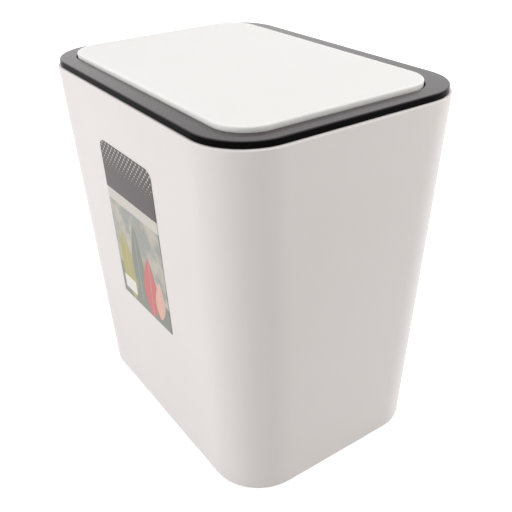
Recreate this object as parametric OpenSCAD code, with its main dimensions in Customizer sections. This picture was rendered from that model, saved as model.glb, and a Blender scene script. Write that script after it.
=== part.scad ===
// Countertop bin with a push top. Press the lid's front edge and it springs open.
// Millimetres, +Z up, front face towards -Y, origin on the counter under the middle of the bin.

/* [Body] */
// Width of the body at its rim
body_w = 230; // [190:1:300]
// Depth of the body at its rim
body_d = 169; // [150:1:230]
// Height of the body's rim above the counter
body_h = 239; // [160:1:340]
// How far each side leans in from rim to base
draft_in = 8.4; // [3:0.1:14]
// Radius of the upright corners
corner_r = 34; // [26:0.5:38]
// Wall of the body
wall = 2.4; // [2:0.1:3.2]
// Thickness of the base plate
base_t = 2.6; // [2:0.1:4]
// Height of the base plate's underside above the body's lower edge
base_rise = 4; // [3:0.5:8]
// Width of the seat ribs inside the mouth
seat_rib_w = 2.2; // [1.6:0.1:4]

/* [Feet] */
// Diameter of a rubber foot
foot_d = 14; // [10:0.5:20]
// How far the feet stand below the body's lower edge
foot_proud = 1; // [0.6:0.1:2]
// How far in from the base's corner a foot sits, along X and along Y
foot_inset = 26; // [22:1:40]

/* [Frame] */
// Height of the frame's top above the body's rim
frame_rise = 4; // [2.5:0.1:6]
// How much of the body's rim shows outside the frame
rim_ledge = 1.6; // [1.2:0.1:2]
// Thickness of the frame's top plate
frame_top_t = 2.4; // [2:0.1:3]
// Thickness of the frame's outer skirt
skirt_t = 2; // [1.6:0.1:2.6]
// Depth of the frame's skirt below the body's rim
skirt_drop = 18; // [14:1:26]
// Thickness of the wall round the lid opening
lip_t = 1.8; // [1.4:0.1:2.4]
// Depth of the wall round the lid opening
lip_drop = 12; // [9:0.5:16]
// Width of the frame's top at the two sides
side_margin = 12.9; // [11:0.1:18]
// Width of the frame's top at the front
front_margin = 13.5; // [12:0.1:20]
// Width of the frame's top at the back, where the hinge is
back_margin = 17.8; // [17:0.1:24]

/* [Lid] */
// Height of the lid's top above the frame's top
lid_rise = 3; // [2:0.1:5]
// Gap round the lid
lid_gap = 1; // [0.8:0.1:1.6]
// Plan radius of the lid's corners
lid_r = 21; // [14:0.5:24]
// Thickness of the lid's top skin
lid_t = 2; // [1.6:0.1:2.4]
// Radius of the soft edge round the lid
lid_edge_r = 1; // [0.6:0.1:2.2]
// How far the lid's edge reaches below the frame's top
lid_dip = 0.8; // [0.4:0.1:0.8]
// Thickness of the liner plate
liner_t = 1.8; // [1.4:0.1:2.4]

/* [Hinge] */
// Diameter of the steel hinge rod
rod_d = 3; // [2.6:0.1:3.4]
// Distance of the rod behind the lid's back edge
rod_back = 8; // [7.5:0.1:9]
// Distance of the rod below the frame's top
rod_down = 7; // [6.5:0.1:7.5]
// Distance of each hinge arm from the middle of the lid
arm_x = 58; // [40:1:70]
// Thickness of a hinge arm
arm_t = 5; // [4:0.5:7]
// Outer radius of a hinge arm's eye
eye_r = 3.2; // [3:0.1:3.4]
// Turns in a hinge spring
coil_turns = 5; // [3:1:7]
// Wire of the hinge springs
coil_wire = 0.9; // [0.7:0.1:1]

/* [Latch] */
// Press travel of the latch below its locked place
press_travel = 3; // [2.5:0.1:3.4]
// Rise of the latch above its locked place when it lets go
release_travel = 5.5; // [4:0.1:6]
// Width of the latch carriage
slider_w = 14; // [12:0.5:16]
// Depth of the latch carriage, front to back
slider_d = 10; // [9.6:0.1:11]
// Height of the latch carriage
slider_h = 17; // [16:0.5:20]
// Wall of the latch housing
housing_t = 1.6; // [1.3:0.1:2.2]
// Turns in the latch spring
latch_turns = 9; // [6:1:11]
// Wire of the latch spring
latch_wire_d = 0.7; // [0.5:0.1:0.8]
// Wire of the follower that runs in the cam track
follower_d = 1; // [0.8:0.1:1.1]

/* [Label] */
// Width of the label
label_w = 68; // [40:1:90]
// Height of the label
label_h = 114; // [60:1:140]
// Height of the label's lower edge above the counter
label_z = 91.5; // [40:0.5:100]
// How far the label's middle lies to the left of the face's middle
label_off = 1.7; // [0:0.1:10]
// Thickness of the label
label_t = 0.3; // [0.2:0.05:0.5]

/* [Fits] */
// Gap between pieces that are pushed together
fit_gap = 0.3; // [0.2:0.05:0.4]
// Gap all round a pin that turns in a hole
run_gap = 0.08; // [0.04:0.01:0.1]

/* [Hidden] */
$fn = 96;
// How far a rib or post reaches into what it joins
sink = 0.5;
// How far a cut reaches past the face it opens
over = 1;

// Body
body_z0 = foot_proud;
shell_h = body_h - body_z0;
lean = atan(draft_in / shell_h);
base_z = body_z0 + base_rise;
floor_z = base_z + base_t;
rim_edge_r = 1.1;
tangent_slip = 0.02;
base_rib_t = 1.6;
base_rib_h = 2.6;
socket_t = 1.6;
seat_rib_in = 3.4;
seat_rib_foot = 0.2;
seat_rib_h = 26;
seat_rib_x = [-52, 0, 52];
seat_rib_y = [-26, 26];
foot_chamfer = 1;
label_r = 6;

// Frame
frame_top = body_h + frame_rise;
frame_under = frame_top - frame_top_t;
mouth_play = 0.1;
frame_inset = wall + fit_gap + mouth_play;
frame_w = body_w - 2 * frame_inset;
frame_d = body_d - 2 * frame_inset;
frame_r = corner_r - frame_inset;
frame_edge_r = 0.8;
brim_gap = 0.2;
brim_out = frame_inset - rim_ledge;
plate_inset = 4;
plate_overlap = 7;
front_rib_x = [-80, -40, 40, 80];
side_rib_y = [-40, 0, 40];
back_rib_x = [-20, 20];
skirt_z = body_h - skirt_drop;
skirt_lean = lean_at(skirt_z);
skirt_in_x = frame_w / 2 - skirt_t;
skirt_in_y = frame_d / 2 - skirt_t;
rib_t = 1.4;

// Lid
lid_top = frame_top + lid_rise;
lid_front = -body_d / 2 + front_margin;
lid_back = body_d / 2 - back_margin;
lid_w = body_w - 2 * side_margin;
lid_d = lid_back - lid_front;
lid_cy = (lid_front + lid_back) / 2;
lid_low = frame_top - lid_dip;
lid_wall = 1.8;
lid_under = lid_top - lid_t;
open_w = lid_w + 2 * lid_gap;
open_d = lid_d + 2 * lid_gap;
open_r = lid_r + lid_gap;
open_front = lid_front - lid_gap;
open_back = lid_back + lid_gap;
liner_drop = 3;
liner_top = frame_top - liner_drop;
liner_low = liner_top - liner_t;
liner_inset = lid_wall + fit_gap;
liner_rim_t = 1.5;
liner_rib_h = 4;
liner_rib_edge = 18;
post_r = 3.2;
post_inset = 26;
post_behind_rib = 9;
post_x = lid_w / 2 - post_inset;
post_y = lid_d / 2 - liner_rib_edge - post_behind_rib;
skin_overlap = 4;
striker_post_r = 2.8;
striker_pilot_depth = 4;

// Screws
screw_r = 1.3;
pilot_r = screw_r + 0.05;
clear_r = screw_r + 0.25;
screw_head_r = 2.7;
screw_head_h = 1.7;
screw_head_edge = 1;
screw_tip_in = 0.4;
screw_tip_h = 0.8;
screw_spare = 0.6;
striker_bite = 3.6;

// Hinge
rod_r = rod_d / 2;
rod_y = lid_back + rod_back;
rod_z = frame_top - rod_down;
eye_hole_r = rod_r + run_gap;
ear_hole_r = rod_r + tangent_slip;
ear_t = 4;
ear_r = 4;
arm_side_gap = 0.6;
arm_bar = 4;
arm_bend_r = 5;
arm_drop = 12;
arm_reach = 14;
coil_play = 1.1;
coil_r = rod_r + coil_play + coil_wire / 2;
coil_pitch = coil_wire * 1.55;
coil_len = coil_turns * coil_pitch + coil_wire;
rod_end = 1;
notch_gap = 1;
notch_depth = 0.6;
ear_in_x = arm_x - arm_t / 2 - 2 * arm_side_gap - coil_len - ear_t;
ear_out_x = arm_x + arm_t / 2 + arm_side_gap;
rod_half = ear_out_x + ear_t + rod_end;
spring_leg = 8;
spring_hook = arm_t - 0.5;
curl_rings = 8;
wire_r = coil_wire / 2;
hook_r = 1;
leg_y = [0, 1, 0];
leg_top = frame_under - 0.3;
coil_start_x = arm_x - arm_t / 2 - arm_side_gap - wire_r;
coil_end_x = coil_start_x - coil_pitch * coil_turns;
hook_z = rod_z - spring_leg;
hinge_spring_rings = concat(
  [[[coil_start_x + spring_hook + arm_side_gap, rod_y + coil_r, hook_z], leg_y, [0, 0, -1]]],
  [for (a = [0 : 30 : 90]) hook_ring(a)],
  [for (i = [0 : curl_rings * coil_turns]) coil_ring(i * 360 / curl_rings)],
  [[[coil_end_x, rod_y + coil_r, leg_top], leg_y, [-1, 0, 0]]]
);

// Buffers
buffer_r = 4;
buffer_h = 2;
buffer_x = arm_x;
buffer_y = lid_front + 6;
buffer_stem_r = 1.6;
buffer_edge = 0.6;
buffer_barb = 0.6;
buffer_tip = 1.6;
stem_gap = 0.1;
shelf_t = 2;
shelf_margin = 2;
shelf_z = liner_low - press_travel - buffer_h;

// Latch
latch_behind_edge = 10.8;
latch_y = lid_front + latch_behind_edge;
striker_w = 22;
striker_d = 9;
striker_t = 2;
striker_screw_x = 8;
neck_w = 4;
head_w = 9;
head_h = 3.2;
hook_depth = 11.4;
hook_low = liner_low - hook_depth;
hook_tip_h = 1;
hook_slope = 1.2;
fork_edge = 0.6;
hook_h = 2.6;
hook_top = hook_low + hook_h;
hook_gap = 0.6;
collar_h = 1.6;
head_lip = 0.8;
stud_d = 4;
striker_edge = 0.5;
head_low = hook_low - fit_gap - head_h;
slider_spare = 0.5;
slider_top = head_low - press_travel - release_travel - slider_spare;
slider_z = slider_top - slider_h;
slide_gap = 0.3;
fork_base_t = 2.5;
fork_d = 5;
fork_t = 1.4;
fork_side = 0.4;
fork_play = 0.05;
fork_out_x = slider_w / 2 - fork_side;
housing_below = 3.5;
housing_above = 8;
housing_z = slider_z - press_travel - housing_below;
housing_top = slider_top + housing_above;
floor_t = 2;
channel_w = slider_w + 2 * slide_gap;
housing_w = channel_w + 2 * housing_t;
slider_front = latch_y - slider_d / 2;
slider_back = latch_y + slider_d / 2;
follower_r = follower_d / 2;
follower_play = 0.6;
follower_gap = 2 * follower_r + follower_play;
cap_back = slider_front - follower_gap;
cap_t = 1.5;
cap_front = cap_back - cap_t;
housing_back = slider_back + slide_gap + housing_t;
flange_t = 2;
flange_w = 6.5;
flange_h = 18;
latch_half_w = housing_w / 2 + flange_w;
latch_screw_x = housing_w / 2 + flange_w / 2;
latch_screw_down = 5;
latch_screw_z = slider_top - latch_screw_down;
flange_z = latch_screw_z - flange_h / 2;
latch_screw_len = 8;
latch_pilot_len = 6;
window_w = 6;
window_short = 5;
rail_w = flange_w;
tongue_side = 2;
tongue_above = 6;
tongue_w = 2 * (latch_half_w + tongue_side);
tongue_z = housing_z + tongue_above;
rail_top = lid_low - lip_drop + 1;
bore_behind = 1.2;
bore_y = latch_y + bore_behind;
bore_r = 2.8;
bore_h = 9;
latch_coil_r = 2.1;
peg_h = 2;
peg_r = latch_coil_r - latch_wire_d / 2 - fit_gap;
spring_low = housing_z + floor_t;
spring_len = slider_z + bore_h - spring_low;
cam_depth = 1.8;
cam_end_gap = 0.3;
cam_z = slider_top - 8.5;
cam_track = [
  [-1, -7], [1, -7], [1, -4.8], [3.9, -0.4], [3.9, 3.2], [2.6, 4.4],
  [0, 3.5], [-2.6, 4.4], [-3.9, 3.2], [-3.9, -0.4], [-1, -4.8]
];
cam_island = [
  [0, -3.8], [2.1, -0.5], [2.1, 1.3], [1.3, 1.5], [0.6, -0.6],
  [-0.6, -0.6], [-1.3, 1.5], [-2.1, 1.3], [-2.1, -0.5]
];
pivot_z = slider_z - 2.5;
latch_wire_r = latch_wire_d / 2;
latch_rings = curl_rings * latch_turns;
latch_spring_rings = [for (i = [0 : latch_rings]) latch_ring(i)];

// How far the wall has leaned in at a height
function lean_at(z) = draft_in * (body_h - z) / shell_h;

// Points of an arc
function arc(cx, cy, r, a0, a1, n = 8) =
  [for (i = [0 : n]) [cx + r * cos(a0 + (a1 - a0) * i / n), cy + r * sin(a0 + (a1 - a0) * i / n)]];

// Rings of the hinge spring's wire round the rod, by angle
function coil_ring(a) =
  let (out = [0, cos(a), sin(a)])
    [[coil_start_x - coil_pitch * a / 360, rod_y, rod_z] + coil_r * out, out, [-1, 0, 0]];

// Rings of the bend from the hinge spring's hook into its leg, by angle
function hook_ring(a) =
  [
    [coil_start_x + hook_r * (1 - sin(a)), rod_y + coil_r, hook_z + hook_r * (1 - cos(a))],
    leg_y,
    [-sin(a), 0, -cos(a)]
  ];

// Rings of the latch spring's wire, by number
function latch_ring(i) =
  let (a = i * 360 / curl_rings, out = [cos(a), sin(a), 0])
    [
      [0, bore_y, spring_low + latch_wire_r + (spring_len - latch_wire_d) * i / latch_rings]
        + latch_coil_r * out,
      out,
      [0, 0, 1]
    ];

// A rectangle with round corners
module round_rect(w, d, r) {
  square([w - 2 * r, d], center = true);
  square([w, d - 2 * r], center = true);
  for (sx = [-1, 1], sy = [-1, 1])
    translate([sx * (w / 2 - r), sy * (d / 2 - r)])
      circle(r);
}

// An outline drawn in X and Z, given a thickness along Y from y upwards
module along_y(y, t) {
  translate([0, y + t, 0])
    rotate([90, 0, 0])
      linear_extrude(t)
        children();
}

// An outline drawn in Y and Z, given a thickness along X from x upwards
module along_x(x, t) {
  translate([x, 0, 0])
    rotate([90, 0, 90])
      linear_extrude(t)
        children();
}

// The same thing on the left and on the right
module both_sides() {
  children();
  mirror([1, 0, 0])
    children();
}

// Carries a profile round a rounded rectangle, the profile's x being the distance outwards
module sweep_round(w, d, r) {
  for (sx = [0, 1])
    mirror([sx, 0, 0])
      translate([w / 2, d / 2 - r, 0])
        rotate([90, 0, 0])
          linear_extrude(d - 2 * r)
            children();
  for (sy = [0, 1])
    mirror([0, sy, 0])
      translate([-w / 2 + r, d / 2, 0])
        rotate([90, 0, 90])
          linear_extrude(w - 2 * r)
            children();
  for (sx = [0, 1], sy = [0, 1])
    mirror([sx, 0, 0])
      mirror([0, sy, 0])
        translate([w / 2 - r, d / 2 - r, 0])
          rotate_extrude(angle = 90)
            translate([r, 0])
              children();
}

// A block whose X sides lean in towards the bottom
module leaning_slab(w, d, lean_in, h) {
  rotate([90, 0, 0])
    translate([0, 0, -d / 2])
      linear_extrude(d)
        polygon([[-w / 2 + lean_in, 0], [w / 2 - lean_in, 0], [w / 2, h], [-w / 2, h]]);
}

// A block whose four sides lean in towards the bottom
module leaning_block(w, d, lean_in, h) {
  intersection() {
    leaning_slab(w, 2 * d, lean_in, h);
    rotate([0, 0, 90])
      leaning_slab(d, 2 * w, lean_in, h);
  }
}

// The body's shape between two heights, set in by a distance, with true round leaning corners
module body_form(inset, z0, z1) {
  h = z1 - z0;
  lean_in = lean_at(z0) - lean_at(z1);
  w = body_w - 2 * (inset + lean_at(z1));
  d = body_d - 2 * (inset + lean_at(z1));
  r = corner_r - inset;
  r_flat = r / cos(lean);
  corner_lean = atan(sqrt(2) * draft_in / shell_h);
  translate([0, 0, z0]) {
    leaning_block(w - 2 * r_flat, d, lean_in, h);
    leaning_block(w, d - 2 * r_flat, lean_in, h);
    intersection() {
      translate([-w, -d, 0])
        cube([2 * w, 2 * d, h]);
      for (sx = [-1, 1], sy = [-1, 1])
        translate([sx * (w / 2 - r_flat - lean_in), sy * (d / 2 - r_flat - lean_in), 0])
          rotate([0, 0, atan2(sy, sx)])
            rotate([0, corner_lean, 0])
              translate([0, 0, -wall * 2])
                cylinder(r = r - tangent_slip, h = h + 6 * wall);
    }
  }
}

// One rib that carries the frame's skirt, on the front wall
module seat_rib(half_depth) {
  low = skirt_z - seat_rib_h;
  translate([0, -half_depth, 0])
    along_x(-seat_rib_w / 2, seat_rib_w)
      polygon([
        [lean_at(skirt_z) + wall / 2, skirt_z],
        [lean_at(skirt_z) + wall + seat_rib_in, skirt_z],
        [lean_at(low) + wall + seat_rib_foot, low],
        [lean_at(low) + wall / 2, low]
      ]);
}

// White tapered body, one moulding
module outer_body() {
  color("whitesmoke")
    difference() {
      union() {
        difference() {
          body_form(0, body_z0, body_h);
          body_form(wall, floor_z, body_h + over);
          body_form(wall, body_z0 - over, base_z);
          sweep_round(body_w, body_d, corner_r)
            polygon(concat(
              arc(-rim_edge_r, body_h - rim_edge_r, rim_edge_r, 0, 90),
              [[-rim_edge_r, body_h + over], [over, body_h + over], [over, body_h - rim_edge_r]]
            ));
        }
        for (side = [0, 180])
          rotate([0, 0, side]) {
            for (x = seat_rib_x)
              translate([x, 0, 0])
                seat_rib(body_d / 2);
            for (y = seat_rib_y)
              rotate([0, 0, 90])
                translate([y, 0, 0])
                  seat_rib(body_w / 2);
          }
        base_ribs();
        foot_places()
          translate([0, 0, base_z - base_rib_h])
            cylinder(d = foot_d + 2 * (run_gap + socket_t), h = base_rib_h + sink);
      }
      foot_places()
        translate([0, 0, -over])
          cylinder(d = foot_d + 2 * run_gap, h = base_z + over);
    }
}

// Stiffening ribs under the base plate
module base_ribs() {
  half_x = body_w / 2 - draft_in - wall;
  half_y = body_d / 2 - draft_in - wall;
  for (y = [-half_y / 3, half_y / 3])
    translate([-half_x, y - base_rib_t / 2, base_z - base_rib_h])
      cube([2 * half_x, base_rib_t, base_rib_h + sink]);
  for (x = [-half_x / 2, 0, half_x / 2])
    translate([x - base_rib_t / 2, -half_y, base_z - base_rib_h])
      cube([base_rib_t, 2 * half_y, base_rib_h + sink]);
}

// Puts the same thing at each foot
module foot_places() {
  for (sx = [-1, 1], sy = [-1, 1])
    translate([
      sx * (body_w / 2 - draft_in - foot_inset),
      sy * (body_d / 2 - draft_in - foot_inset),
      0
    ])
      children();
}

// Four rubber feet pushed into sockets under the base
module rubber_feet() {
  color("dimgray")
    foot_places()
      rotate_extrude()
        polygon([
          [0, 0], [foot_d / 2 - foot_chamfer, 0], [foot_d / 2, foot_chamfer],
          [foot_d / 2, base_z], [0, base_z]
        ]);
}

// Printed sheet on the front face
module front_label() {
  color("gray")
    translate([-label_off, -(body_d / 2 - lean_at(label_z)) - tangent_slip, label_z])
      rotate([lean, 0, 0])
        along_y(-label_t, label_t) {
          translate([-label_w / 2, 0])
            square([label_w, label_h - label_r]);
          translate([-label_w / 2 + label_r, label_h - label_r])
            square([label_w - 2 * label_r, label_r]);
          for (sx = [-1, 1])
            translate([sx * (label_w / 2 - label_r), label_h - label_r])
              circle(label_r);
        }
}

// Black surround: skirt, top plate, wall round the opening, hinge ears and latch rails
module top_frame() {
  color("black")
    difference() {
      union() {
        frame_shell();
        frame_ribs();
        hinge_ears();
        latch_tongue();
        both_sides()
          buffer_shelf();
      }
      both_sides() {
        arm_notch();
        translate([buffer_x, buffer_y, shelf_z - 2 * shelf_t])
          cylinder(r = buffer_stem_r + stem_gap, h = 4 * shelf_t);
        translate([latch_screw_x, 0, latch_screw_z])
          rotate([90, 0, 0])
            translate([0, 0, -cap_front - over])
              cylinder(r = pilot_r, h = latch_pilot_len);
      }
      translate([-rod_half, rod_y, rod_z])
        rotate([0, 90, 0])
          cylinder(r = ear_hole_r, h = 2 * rod_half);
    }
}

// Skirt, top plate and opening wall of the frame
module frame_shell() {
  sweep_round(frame_w, frame_d, frame_r)
    polygon(concat(
      [[-skirt_t - skirt_lean, skirt_z], [-skirt_lean, skirt_z]],
      [[0, body_h + brim_gap], [brim_out, body_h + brim_gap]],
      arc(brim_out - frame_edge_r, frame_top - frame_edge_r, frame_edge_r, 0, 90),
      [[-plate_overlap, frame_top], [-plate_overlap, frame_under], [-skirt_t, frame_under]]
    ));
  translate([0, 0, frame_under])
    linear_extrude(frame_top_t)
      difference() {
        round_rect(frame_w - 2 * plate_inset, frame_d - 2 * plate_inset, frame_r - plate_inset);
        translate([0, lid_cy])
          round_rect(open_w, open_d, open_r);
      }
  translate([0, lid_cy, frame_top - lip_drop])
    linear_extrude(lip_drop - sink)
      difference() {
        round_rect(open_w + 2 * lip_t, open_d + 2 * lip_t, open_r + lip_t);
        round_rect(open_w, open_d, open_r);
      }
}

// Cross ribs under the frame's top plate
module frame_ribs() {
  z0 = frame_top - lip_drop;
  h = lip_drop - sink;
  front_in = -open_front + lip_t / 2;
  for (x = front_rib_x)
    translate([x - rib_t / 2, -skirt_in_y - skirt_t / 2, z0])
      cube([rib_t, skirt_in_y + skirt_t / 2 - front_in, h]);
  both_sides()
    for (y = side_rib_y)
      translate([open_w / 2 + lip_t / 2, y - rib_t / 2, z0])
        cube([skirt_in_x + skirt_t / 2 - open_w / 2 - lip_t / 2, rib_t, h]);
  for (x = back_rib_x)
    translate([x - rib_t / 2, open_back + lip_t / 2, z0])
      cube([rib_t, skirt_in_y + skirt_t / 2 - open_back - lip_t / 2, h]);
}

// Ears that hold the rod, one on each side of each arm and its spring
module hinge_ears() {
  both_sides()
    for (x = [ear_in_x, ear_out_x])
      along_x(x, ear_t) {
        translate([rod_y, rod_z])
          circle(ear_r);
        translate([open_back + lip_t / 2, rod_z])
          square([skirt_in_y + skirt_t / 2 - open_back - lip_t / 2, rod_down - sink]);
      }
}

// Cut in the opening wall where an arm swings through
module arm_notch() {
  translate([
    arm_x - arm_t / 2 - notch_gap,
    open_back - notch_gap,
    frame_top - lip_drop - notch_gap
  ])
    cube([
      arm_t + notch_gap + arm_side_gap,
      lip_t + notch_gap + notch_depth,
      lip_drop + notch_gap - frame_top_t
    ]);
}

// Tongue below the front wall, with two rails that the latch is screwed to
module latch_tongue() {
  along_y(open_front - lip_t, lip_t)
    translate([-tongue_w / 2, tongue_z])
      square([tongue_w, frame_top - sink - tongue_z]);
  both_sides() {
    translate([latch_screw_x - rail_w / 2, open_front - lip_t / 2, tongue_z])
      cube([rail_w, cap_front - open_front + lip_t / 2, rail_top - tongue_z]);
    along_x(tongue_w / 2 - rib_t, rib_t)
      polygon([
        [-skirt_in_y - skirt_t / 2, frame_top - sink],
        [open_front - lip_t / 2, frame_top - sink],
        [open_front - lip_t / 2, tongue_z],
        [open_front - lip_t - 1, tongue_z],
        [-skirt_in_y - skirt_t / 2 + skirt_lean, skirt_z + 1]
      ]);
  }
}

// Shelf under a rubber buffer
module buffer_shelf() {
  half = buffer_r + shelf_margin;
  translate([buffer_x - half, open_front - lip_t / 2, shelf_z - shelf_t])
    cube([2 * half, buffer_y - open_front + lip_t / 2 + half, shelf_t]);
  along_x(buffer_x + half - rib_t, rib_t)
    polygon([
      [open_front - lip_t / 2, shelf_z - shelf_t / 2],
      [buffer_y + half - 1, shelf_z - shelf_t / 2],
      [open_front - lip_t / 2, frame_top - lip_drop]
    ]);
}

// Rubber buffers that stop the pressed lid
module frame_buffers() {
  color("dimgray")
    both_sides()
      translate([buffer_x, buffer_y, shelf_z])
        rotate_extrude()
          polygon([
            [0, buffer_h], [buffer_r - buffer_edge, buffer_h],
            [buffer_r, buffer_h - buffer_edge], [buffer_r, 0],
            [buffer_stem_r, 0], [buffer_stem_r, -shelf_t],
            [buffer_stem_r + buffer_barb, -shelf_t - stem_gap],
            [buffer_barb, -shelf_t - buffer_tip], [0, -shelf_t - buffer_tip]
          ]);
}

// Steel rod through the ears and the arms
module hinge_rod() {
  color("silver")
    translate([-rod_half, rod_y, rod_z])
      rotate([0, 90, 0])
        cylinder(r = rod_r, h = 2 * rod_half);
}

// Rings of a round tube, each given as centre, first and second cross direction
function tube_points(rings, r, sides) =
  [for (ring = rings, k = [0 : sides - 1])
    ring[0] + r * (cos(k * 360 / sides) * ring[1] + sin(k * 360 / sides) * ring[2])];

// One unbroken tube through its rings
module tube(rings, r, sides = 6) {
  n = len(rings);
  polyhedron(
    points = tube_points(rings, r, sides),
    faces = concat(
      [[for (k = [0 : sides - 1]) k]],
      [for (i = [0 : n - 2], k = [0 : sides - 1], half = [0, 1])
        let (a = i * sides + k, b = i * sides + (k + 1) % sides)
          half == 0 ? [a, b + sides, b] : [a, a + sides, b + sides]],
      [[for (k = [sides - 1 : -1 : 0]) (n - 1) * sides + k]]
    )
  );
}

// Least free gap between two stretches of a tube that lie over half a turn apart
function least_gap(rings, r, apart) =
  min([for (i = [0 : len(rings) - 1], j = [0 : len(rings) - 1])
    if (j - i >= apart) norm(rings[i][0] - rings[j][0]) - 2 * r]);

// Hinge spring: a leg down behind the arm, the turns, and a leg up to the frame's plate
module hinge_spring_right() {
  color("silver")
    tube(hinge_spring_rings, wire_r);
}

module hinge_spring_left() {
  color("silver")
    mirror([1, 0, 0])
      tube(hinge_spring_rings, wire_r);
}

// Puts the same thing at each of the lid's six screws
module post_places() {
  for (x = [-post_x, 0, post_x], y = [-post_y, post_y])
    if (x != 0 || y > 0)
      translate([x, lid_cy + y, 0])
        children();
  translate([0, lid_cy, 0])
    children();
}

// White lid plate with a soft edge and screw posts underneath
module lid_cover() {
  color("white")
    difference() {
      union() {
        translate([0, lid_cy, 0]) {
          sweep_round(lid_w, lid_d, lid_r)
            polygon(concat(
              [[-lid_wall, lid_low], [0, lid_low]],
              arc(-lid_edge_r, lid_top - lid_edge_r, lid_edge_r, 0, 90),
              [[-skin_overlap, lid_top], [-skin_overlap, lid_under], [-lid_wall, lid_under]]
            ));
          translate([0, 0, lid_under])
            linear_extrude(lid_t)
              round_rect(lid_w - skin_overlap, lid_d - skin_overlap, lid_r - skin_overlap / 2);
        }
        post_places()
          translate([0, 0, liner_top])
            cylinder(r = post_r, h = lid_under - liner_top + sink);
      }
      post_places()
        translate([0, 0, liner_top - over])
          cylinder(r = pilot_r, h = lid_under - liner_top + over);
    }
}

// Black inner half of the lid: tray, ribs, striker posts and the two hinge arms
module lid_liner() {
  w = lid_w - 2 * liner_inset;
  d = lid_d - 2 * liner_inset;
  r = lid_r - liner_inset;
  color("black")
    difference() {
      union() {
        translate([0, lid_cy, liner_low])
          linear_extrude(liner_t)
            round_rect(w, d, r);
        translate([0, lid_cy, liner_low])
          linear_extrude(lid_under - liner_low)
            difference() {
              round_rect(w, d, r);
              round_rect(w - 2 * liner_rim_t, d - 2 * liner_rim_t, r - liner_rim_t);
            }
        liner_ribs();
        both_sides() {
          hinge_arm();
          translate([striker_screw_x, latch_y, liner_low])
            cylinder(r = striker_post_r, h = lid_under - liner_low);
        }
      }
      post_places()
        translate([0, 0, liner_low - over])
          cylinder(r = clear_r, h = liner_t + 2 * over);
      both_sides()
        translate([striker_screw_x, latch_y, liner_low - over])
          cylinder(r = pilot_r, h = striker_pilot_depth + over);
      translate([-rod_half, rod_y, rod_z])
        rotate([0, 90, 0])
          cylinder(r = eye_hole_r, h = 2 * rod_half);
    }
}

// Ribs under the liner plate, clear of the screws
module liner_ribs() {
  half_x = lid_w / 2 - liner_rib_edge;
  half_y = lid_d / 2 - liner_rib_edge;
  for (y = [-half_y, -half_y / 3, half_y / 3, half_y])
    translate([-half_x, lid_cy + y - rib_t / 2, liner_low - liner_rib_h])
      cube([2 * half_x, rib_t, liner_rib_h + sink]);
  for (x = [-half_x, -half_x / 3, half_x / 3, half_x])
    translate([x - rib_t / 2, lid_cy - half_y, liner_low - liner_rib_h])
      cube([rib_t, 2 * half_y, liner_rib_h + sink]);
}

// Goose-neck arm: from its eye on the rod down, forwards under the frame's edge and up to the liner
module hinge_arm() {
  half = arm_bar / 2;
  bend_z = arm_bend_r - arm_drop;
  along_x(arm_x - arm_t / 2, arm_t)
    translate([rod_y, rod_z]) {
      circle(eye_r);
      translate([-half, bend_z])
        square([arm_bar, -bend_z]);
      bend_quarter(-arm_bend_r, bend_z, 1);
      translate([-arm_reach + arm_bend_r, -arm_drop - half])
        square([arm_reach - 2 * arm_bend_r, arm_bar]);
      bend_quarter(-arm_reach + arm_bend_r, bend_z, -1);
      translate([-arm_reach - half, bend_z])
        square([arm_bar, liner_low + liner_t / 2 - rod_z - bend_z]);
    }
}

// Lower quarter of a ring, on the side given
module bend_quarter(cx, cz, side) {
  size = arm_bend_r + arm_bar;
  translate([cx, cz])
    intersection() {
      difference() {
        circle(arm_bend_r + arm_bar / 2);
        circle(arm_bend_r - arm_bar / 2);
      }
      translate([side > 0 ? 0 : -size, -size])
        square(size);
    }
}

// A pan-head screw with its head's flat at the origin and its shank along +Z
module screw(shank) {
  rotate_extrude()
    polygon(concat(
      [[0, shank], [screw_r - screw_tip_in, shank], [screw_r, shank - screw_tip_h]],
      [[screw_r, 0], [screw_head_r, 0]],
      arc(screw_head_r - screw_head_edge, screw_head_edge - screw_head_h, screw_head_edge, 0, -90, 5),
      [[0, -screw_head_h]]
    ));
}

// Screws that hold the liner to the cover
module lid_screws() {
  color("silver")
    post_places()
      translate([0, 0, liner_low])
        screw(lid_under - liner_low - screw_spare);
}

// Headed stud on the lid that the latch grips
module latch_striker() {
  neck_low = hook_low - fit_gap;
  collar_low = hook_low + hook_h + fit_gap;
  color("dimgray")
    difference() {
      union() {
        translate([-striker_w / 2, latch_y - striker_d / 2, liner_low - striker_t])
          cube([striker_w, striker_d, striker_t]);
        along_y(latch_y - stud_d / 2, stud_d)
          polygon([
            [-neck_w / 2, liner_low - striker_t / 2], [-neck_w / 2, collar_low + collar_h],
            [-head_w / 2, collar_low + collar_h], [-head_w / 2, collar_low],
            [-neck_w / 2, collar_low], [-neck_w / 2, neck_low], [-head_w / 2, neck_low],
            [-head_w / 2, neck_low - head_lip], [-neck_w / 2, head_low], [neck_w / 2, head_low],
            [head_w / 2, neck_low - head_lip], [head_w / 2, neck_low], [neck_w / 2, neck_low],
            [neck_w / 2, collar_low], [head_w / 2, collar_low],
            [head_w / 2, collar_low + collar_h], [neck_w / 2, collar_low + collar_h],
            [neck_w / 2, liner_low - striker_t / 2]
          ]);
        along_x(-rib_t / 2, rib_t)
          polygon([
            [latch_y - striker_d / 2 + striker_edge, liner_low - striker_t / 2],
            [latch_y + striker_d / 2 - striker_edge, liner_low - striker_t / 2],
            [latch_y + stud_d / 2, collar_low + collar_h],
            [latch_y - stud_d / 2, collar_low + collar_h]
          ]);
      }
      both_sides()
        translate([striker_screw_x, latch_y, liner_low - 2 * striker_t])
          cylinder(r = clear_r, h = 3 * striker_t);
    }
}

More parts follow.
